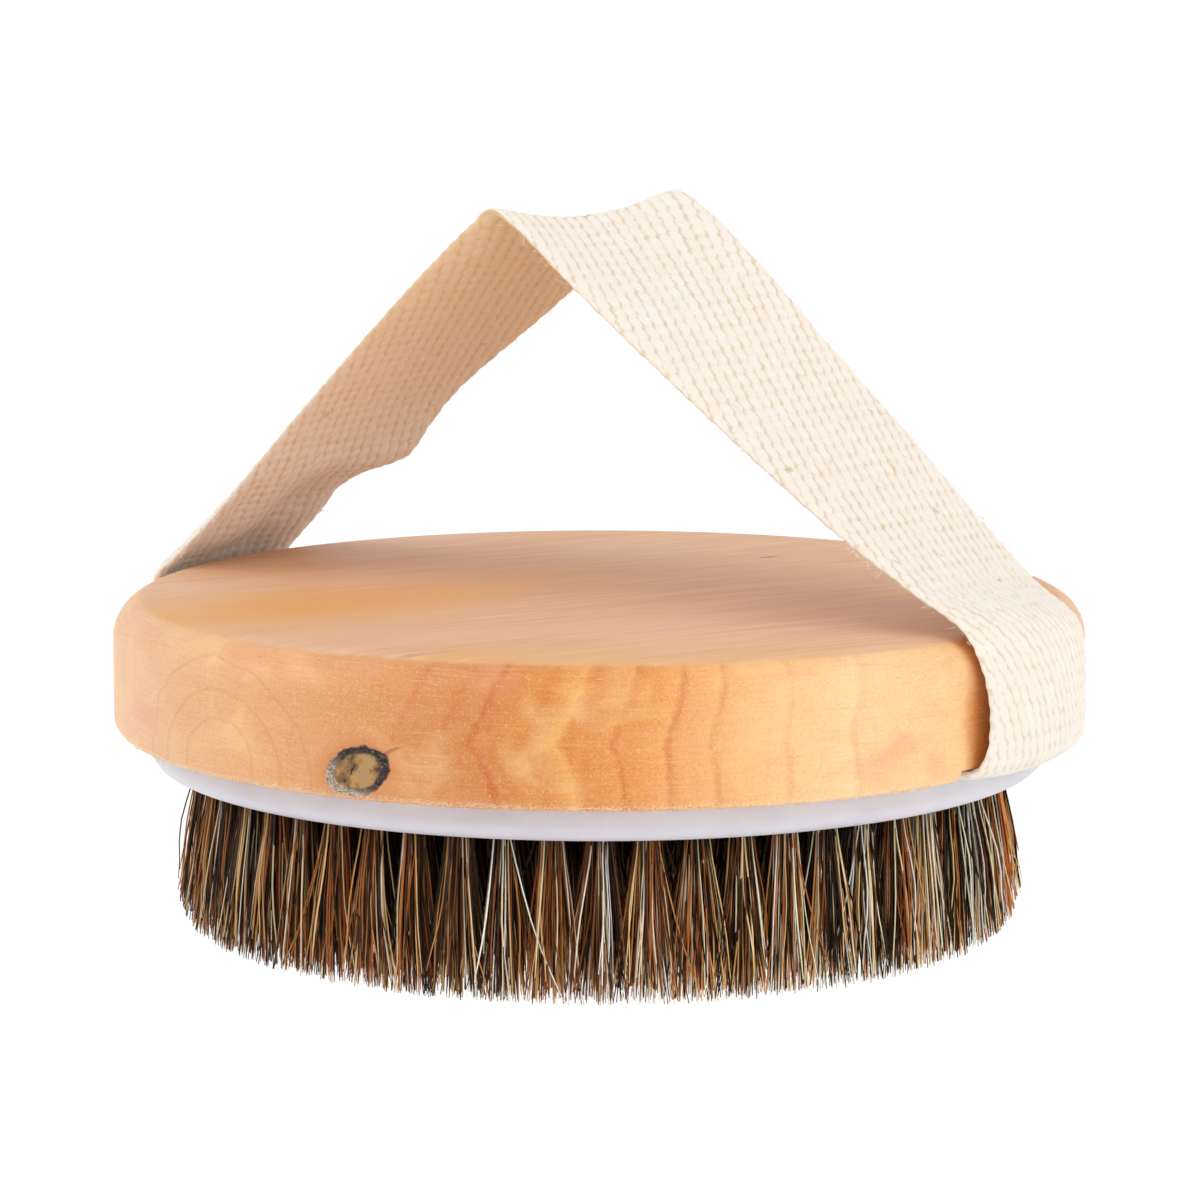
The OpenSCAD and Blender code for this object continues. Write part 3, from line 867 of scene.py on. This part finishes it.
def strap(material):
    p = strap_middle()
    rows = len(p)
    dw = np.gradient(p, axis=1)
    normal = unit(np.cross(np.gradient(p, axis=0), dw))
    s = travelled(p[:, ACROSS // 2])
    w = np.linspace(-STRAP_W / 2, STRAP_W / 2, ACROSS)
    s_grid, w_grid = np.broadcast_arrays(s[:, None], w[None])
    slant = YARN_SLANT * (1 - 2 * step(44, 36, p[..., 2]) * step(30, 50, p[..., 0]))
    front, tint_front = yarn_relief(s_grid, w_grid, slant, 0.0)
    back, tint_back = yarn_relief(s_grid, w_grid, slant, 0.5)

    # rounded selvedges, scalloped where the weft turns back
    v = w / (STRAP_W / 2)
    fade = np.sqrt(np.maximum(0, 1 - np.abs(v) ** 14))[None]
    calm = (step(0, 12, np.arange(rows)) * step(rows - 1, rows - 13, np.arange(rows)))[:, None]
    scallop = 0.07 * np.sin(math.tau * s / (YARN_LONG / 2))[:, None] * np.abs(v) ** 20
    across = unit(dw)
    p = p + across * (scallop * np.sign(v) * calm)[..., None]
    up, down = [(HALF_CORE * fade + YARN_RISE * face * np.maximum(fade, 0.35) * calm)[..., None]
                for face in (front, back)]
    around = 2 * ACROSS
    points = np.concatenate([p + normal * up, (p - normal * down)[:, ::-1]], 1).reshape(-1, 3)
    index = np.arange(rows * around).reshape(rows, around)
    caps = []
    for row, flip in ((0, 1), (rows - 1, -1)):
        a, b = index[row, :ACROSS], index[row, ACROSS:][::-1]
        caps.append(join(a[:-1], b[:-1], b[1:], a[1:])[:, ::flip])

    raised = np.concatenate([front, back[:, ::-1]], 1)
    tint = np.concatenate([tint_front, tint_back[:, ::-1]], 1)
    spot = np.hypot(s_grid - s[-1] + DARK_FIBRE[0], w_grid - DARK_FIBRE[1]) / DARK_FIBRE[2]
    speck = np.concatenate([step(1.2, 0.6, spot), 0 * spot], 1)
    # share of the back face that gets the warm painted bounce light from the wood
    inner = np.concatenate([0 * front, step(46, 72, p[:, ::-1, 2])], 1)
    cap_uv = [cap_corners(ACROSS - 1, v0, v0 + 0.006) for v0 in (0.492, 0.502)]
    faces, uv = outward(points, [ring_quads(index), *caps], [strip_corners(s, around), *cap_uv])
    made = build("hand_strap", points, faces, material,
                 {"raised": raised, "tint": tint, "speck": speck, "inner": inner}, None, uv)
    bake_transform(made)
    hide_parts("strap_end_left", "strap_leg_left", "strap_crown",
                "strap_leg_right", "strap_end_right")
    return made, p, normal, across, s


def strip_corners(s, around):
    """Coordinates of the quads of a closed strip, laid in the square as two bands."""
    half = len(s) // 2
    i = np.arange(len(s) - 1)
    band = (i >= half).astype(float)
    start = np.where(band > 0, s[half], s[0])
    reach = max(s[half], s[-1] - s[half])
    u0, u1 = (s[i] - start) / reach, (s[i + 1] - start) / reach
    u = join(u0, u0, u1, u1)[:, None] * 0.98 + 0.01
    v = sides_of(around)[None, :, [0, 1, 1, 0]] * 0.48 + 0.01 + band[:, None, None] * 0.5
    return join(*np.broadcast_arrays(u, v)).reshape(-1, 4, 2)


def cap_corners(count, low, high):
    """Coordinates of a row of end quads, in a thin band of the square."""
    u = sides_of(count)[:, [0, 0, 1, 1]] * 0.98 + 0.01
    v = np.tile([low, high, high, low], (count, 1))
    return join(u, v)


def strap_fluff(material, p, normal, across):
    """Loose cotton fibres on the webbing's edges and faces."""
    rng = np.random.default_rng(SEED + 4)
    count, steps = 520, 7
    row = rng.integers(130, len(p) - 130, count)
    on_edge = rng.uniform(size=count) < 0.72
    edge = rng.choice([0, ACROSS - 1], count)
    column = np.where(on_edge, edge, rng.integers(4, ACROSS - 4, count))
    face = rng.choice([-1.0, 1.0], count)
    out = across[row, column] * np.where(edge == 0, -1, 1)[:, None]
    up = normal[row, column] * face[:, None]
    along = np.cross(up, out)
    away = np.where(on_edge[:, None], out, up)
    aside = along * rng.normal(0, 1, count)[:, None]
    aside = aside + np.where(on_edge[:, None], up, out) * rng.normal(0, 0.6, count)[:, None]
    start = p[row, column] + np.where(on_edge[:, None], up * 0.2, up * (HALF_CORE + 0.1))
    length = np.minimum(rng.gamma(2.0, 0.32, count) + 0.3, 1.8)
    run = np.linspace(0, 1, steps)
    reach = np.where(on_edge, rng.uniform(0.3, 0.9, count), rng.uniform(0.15, 0.5, count))
    swing = np.sin(run * rng.uniform(1.5, 5.0, count)[:, None])
    lines = (start[:, None]
             + away[:, None] * (reach * length)[:, None, None] * np.sin(2.0 * run)[None, :, None]
             + aside[:, None] * 0.5 * length[:, None, None] * swing[..., None])
    radius = np.full((count, 1), 0.022) * (1 - 0.5 * run)
    colours = [(252, 242, 222), (238, 220, 188), (255, 250, 238)]
    made = fibres("strap_fluff", lines, radius, rng, colours, material)
    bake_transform(made)


# ---- bristles

RING_COUNTS = [6, 12, 18, 24, 32, 38, 44, 50, 56]
DENSE_RINGS = {9: (84, 0.105), 8: (74, 0.11), 7: (50, 0.125)}
INNER_HAIR = (36, 0.14)  # hairs in a tuft and their radius
SCREW_RING = 5  # four screws take the place of tufts in this ring
RING_STEP = 5.0  # from one ring of tufts to the next
ROOT_R = 1.2  # radius of a tuft in its hole
ROOT_Z = PLATE_Z + 2.1  # where the folded hairs sit in the plate
HAIR_STEPS = np.array([0, 0.12, 0.27, 0.42, 0.57, 0.72, 0.87, 1.0])
HAIR_TAPER = np.array([1, 1, 1, 1, 0.98, 0.94, 0.86, 0.55])
# colours of hair, each with its share
HAIR_COLOURS = [((22, 16, 13), 0.24), ((58, 36, 24), 0.16), ((118, 70, 38), 0.13),
                ((178, 102, 50), 0.13), ((206, 150, 88), 0.10), ((230, 190, 132), 0.09),
                ((250, 226, 190), 0.09), ((255, 244, 226), 0.06)]


def hairs(rng, ring_r, angles, per_tuft, thick, outer):
    """Centre lines, radii and colours of the hairs of the tufts of one ring."""
    tufts = len(angles)
    count = tufts * per_tuft
    tuft = np.repeat(np.arange(tufts), per_tuft)
    angle = angles[tuft]
    out = join(np.cos(angle), np.sin(angle), 0 * angle)
    aside = join(-np.sin(angle), np.cos(angle), 0 * angle)

    r, turn = ROOT_R * np.sqrt(rng.uniform(size=count)), rng.uniform(0, math.tau, count)
    a0, b0 = r * np.cos(turn), r * np.sin(turn)
    open_tuft = rng.uniform(1.9, 2.6, tufts)[tuft]
    lean = rng.normal(0, 0.28, (2, tufts))[:, tuft]
    a1 = a0 * open_tuft + lean[0] + rng.normal(0, 0.50, count) + 0.35 * outer
    b1 = b0 * open_tuft * 1.1 + lean[1] + rng.normal(0, 0.55, count)
    a0 = 0.85 * a0 - 0.6 * outer
    stray = rng.uniform(size=count) < 0.07
    a1 = np.where(stray, a1 + rng.normal(-0.5, 1.2, count), a1)
    b1 = np.where(stray, b1 + rng.normal(0, 2.4, count), b1)
    a1 = np.minimum(a1, 2.7 + 0.6 * rng.uniform(size=count))
    tip = np.abs(rng.normal(0, 0.42, count))
    tip += np.where(rng.uniform(size=count) < 0.10, rng.uniform(0.5, 4.5, count), 0)
    tip += outer * 1.5 * np.maximum(0, a1 - 1.5) ** 1.7
    tip = np.minimum(tip, 11)

    t = HAIR_STEPS[None]
    bow = rng.normal(0, 0.55, (2, count, 1)) + np.array([0.40 * outer, 0])[:, None, None]
    wave = 0.10 * np.sin(rng.uniform(3, 8, (count, 1)) * t + rng.uniform(0, 6.3, (count, 1)))
    swell = np.sin(math.pi * t) ** 2 * t
    a = a0[:, None] + (a1 - a0)[:, None] * t ** 1.3 + bow[0] * swell + wave * t
    b = b0[:, None] + (b1 - b0)[:, None] * t ** 1.3 + bow[1] * swell - wave * t
    z = ROOT_Z + (tip[:, None] - ROOT_Z) * t
    lines = (ring_r + a)[..., None] * out[:, None] + b[..., None] * aside[:, None]
    lines[..., 2] = z
    radius = thick * rng.uniform(0.75, 1.2, count)[:, None] * HAIR_TAPER[None]
    radius = np.minimum(radius, z + 0.02)

    weights = np.array([share for _, share in HAIR_COLOURS])
    left = np.cos(angles - (FRONT - math.pi / 2))
    bias = np.exp(rng.normal(0, 0.45, (tufts, len(weights))))
    bias[:, 1:4] *= (1 + 0.5 * left)[:, None]
    bias[:, 5:] *= (1 - 0.4 * left)[:, None]
    chance = weights * bias
    chance = np.cumsum(chance / chance.sum(1, keepdims=True), axis=1)[tuft]
    pick = (rng.uniform(size=(count, 1)) > chance).sum(1).clip(0, len(weights) - 1)
    shade = np.array([srgb(*colour) for colour, _ in HAIR_COLOURS])[pick]
    # painted light and shade by side: hairs darker on the left tufts, lighter on the front and right
    painted_side_light = 1.12 - 0.38 * left.clip(0, 1) + 0.3 * (-left).clip(0, 1)
    shade[:, :3] *= rng.uniform(0.8, 1.2, (count, 1)) * painted_side_light[tuft][:, None]
    return lines, radius, shade.clip(0, 1)


def bristle_ring(name, node, seed, material, *layout):
    lines, radius, shade = hairs(np.random.default_rng(seed), *layout)
    points, faces, uv = tubes(lines, radius)
    along = np.tile(np.repeat(HAIR_STEPS, TUBE_SIDES), len(lines))
    shade = np.repeat(shade, TUBE_SIDES * len(HAIR_STEPS), axis=0)
    made = build(name, points, faces, material, {"along": along}, {"shade": shade}, uv)
    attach(made, "brush")
    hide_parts(node)


def bristles():
    # the inner rings get the deeper painted shade towards the root
    rim_hair = bristle_material("bristle_at_the_rim", 0.40, 0.55)
    inner_hair = bristle_material("bristle_inside", 0.95, 0.96)
    tip_r = 2.3
    outer_r = box_mm("tufts_ring_9")[1][0] - tip_r
    rings = len(RING_COUNTS)
    for ring, count in enumerate(RING_COUNTS, 1):
        k = np.arange(count)
        if ring == SCREW_RING:
            k = k[k % (count // 4) != 0]
        ring_r = outer_r - RING_STEP * (rings - ring)
        per_tuft, thick = DENSE_RINGS.get(ring, INNER_HAIR)
        outer = float(ring == rings)
        bristle_ring(f"bristles_ring_{ring}", f"tufts_ring_{ring}", SEED + 10 + ring,
                     rim_hair if outer else inner_hair,
                     ring_r, math.tau * k / count, per_tuft, thick, outer)
    bristle_ring("bristles_centre", "tuft_centre", SEED + 10, inner_hair,
                 0.0, np.array([0.0]), *INNER_HAIR, 0.0)


# ---- plate and small metal

def dress(node, material):
    """Gives a CAD node that stays its own material."""
    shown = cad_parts[node]
    shown.data.materials.clear()
    shown.data.materials.append(material)


def carried_over():
    dress("bristle_plate", plate_material())
    steel = steel_material()
    for node in ("plate_screws", "strap_staples_left", "strap_staples_right", "tuft_anchors"):
        dress(node, steel)


# ---- camera and studio

FLOOR_SIZE = 6000
FLOOR_GLOW = 0.955
ROOM_LIGHT = 0.72  # brightness of the white room on the object
LIGHT_DISTANCE = 900  # from each softbox to the object, in millimetres
# name, azimuth and elevation in degrees, size in millimetres, power in watts
SOFTBOXES = [("key_light", -14, 42, 800, 1.8), ("top_light", -80, 72, 900, 1.1),
             ("low_right_light", -22, 7, 420, 1.3), ("left_light", -150, 25, 520, 2.0)]


def softbox(name, azimuth, elevation, size, power):
    """A square soft light at an angle round the object."""
    a, e = math.radians(azimuth), math.radians(elevation)
    data = bpy.data.lights.new(name, "AREA")
    data.shape = "SQUARE"
    data.size = size * MM
    data.energy = power
    made = new_object(name, data)
    made.visible_camera = False
    away = Vector((math.cos(e) * math.cos(a), math.cos(e) * math.sin(a), math.sin(e)))
    made.location = (LIGHT_DISTANCE * away + Vector((0, 0, 30))) * MM
    made.rotation_euler = away.to_track_quat("Z", "Y").to_euler()


def studio():
    world = bpy.data.worlds.new("white_room")
    bpy.context.scene.world = world
    world.use_nodes = True
    tree = world.node_tree
    path = tree.nodes.new("ShaderNodeLightPath")
    seen = tree.nodes.new("ShaderNodeMapRange")
    seen.inputs["To Min"].default_value = ROOM_LIGHT
    tree.links.new(path.outputs["Is Camera Ray"], seen.inputs["Value"])
    background = tree.nodes["Background"]
    background.inputs["Color"].default_value = (1, 1, 1, 1)
    tree.links.new(seen.outputs["Result"], background.inputs["Strength"])

    square = np.array([[0, 0, 0], [1, 0, 0], [1, 1, 0], [0, 1, 0]])
    floor = build("floor", (square - [0.5, 0.5, 0]) * FLOOR_SIZE, [np.array([[0, 1, 2, 3]])],
                  floor_material(), uv=[square[None, :, :2]])

    for name, azimuth, elevation, size, power in SOFTBOXES:
        softbox(name, azimuth, elevation, size, power)
    bpy.context.scene.view_settings.view_transform = "Standard"


def camera():
    data = bpy.data.cameras.new("camera")
    data.lens = 121.5
    data.sensor_width = 36.0
    data.clip_start, data.clip_end = 0.01, 20.0
    made = new_object("camera", data)
    made.location = np.array([241.6, -386.9, 103.6]) * MM
    made.rotation_euler = [math.radians(a) for a in (81.53, 0, 31.97)]
    bpy.context.scene.camera = made


block = wood_block()
fluff = fluff_material()
wood_splinters(fluff)
hand_strap, strap_grid, strap_normal, strap_across, strap_s = strap(webbing_material())
strap_fluff(fluff, strap_grid, strap_normal, strap_across)
bristles()
carried_over()
studio()
camera()
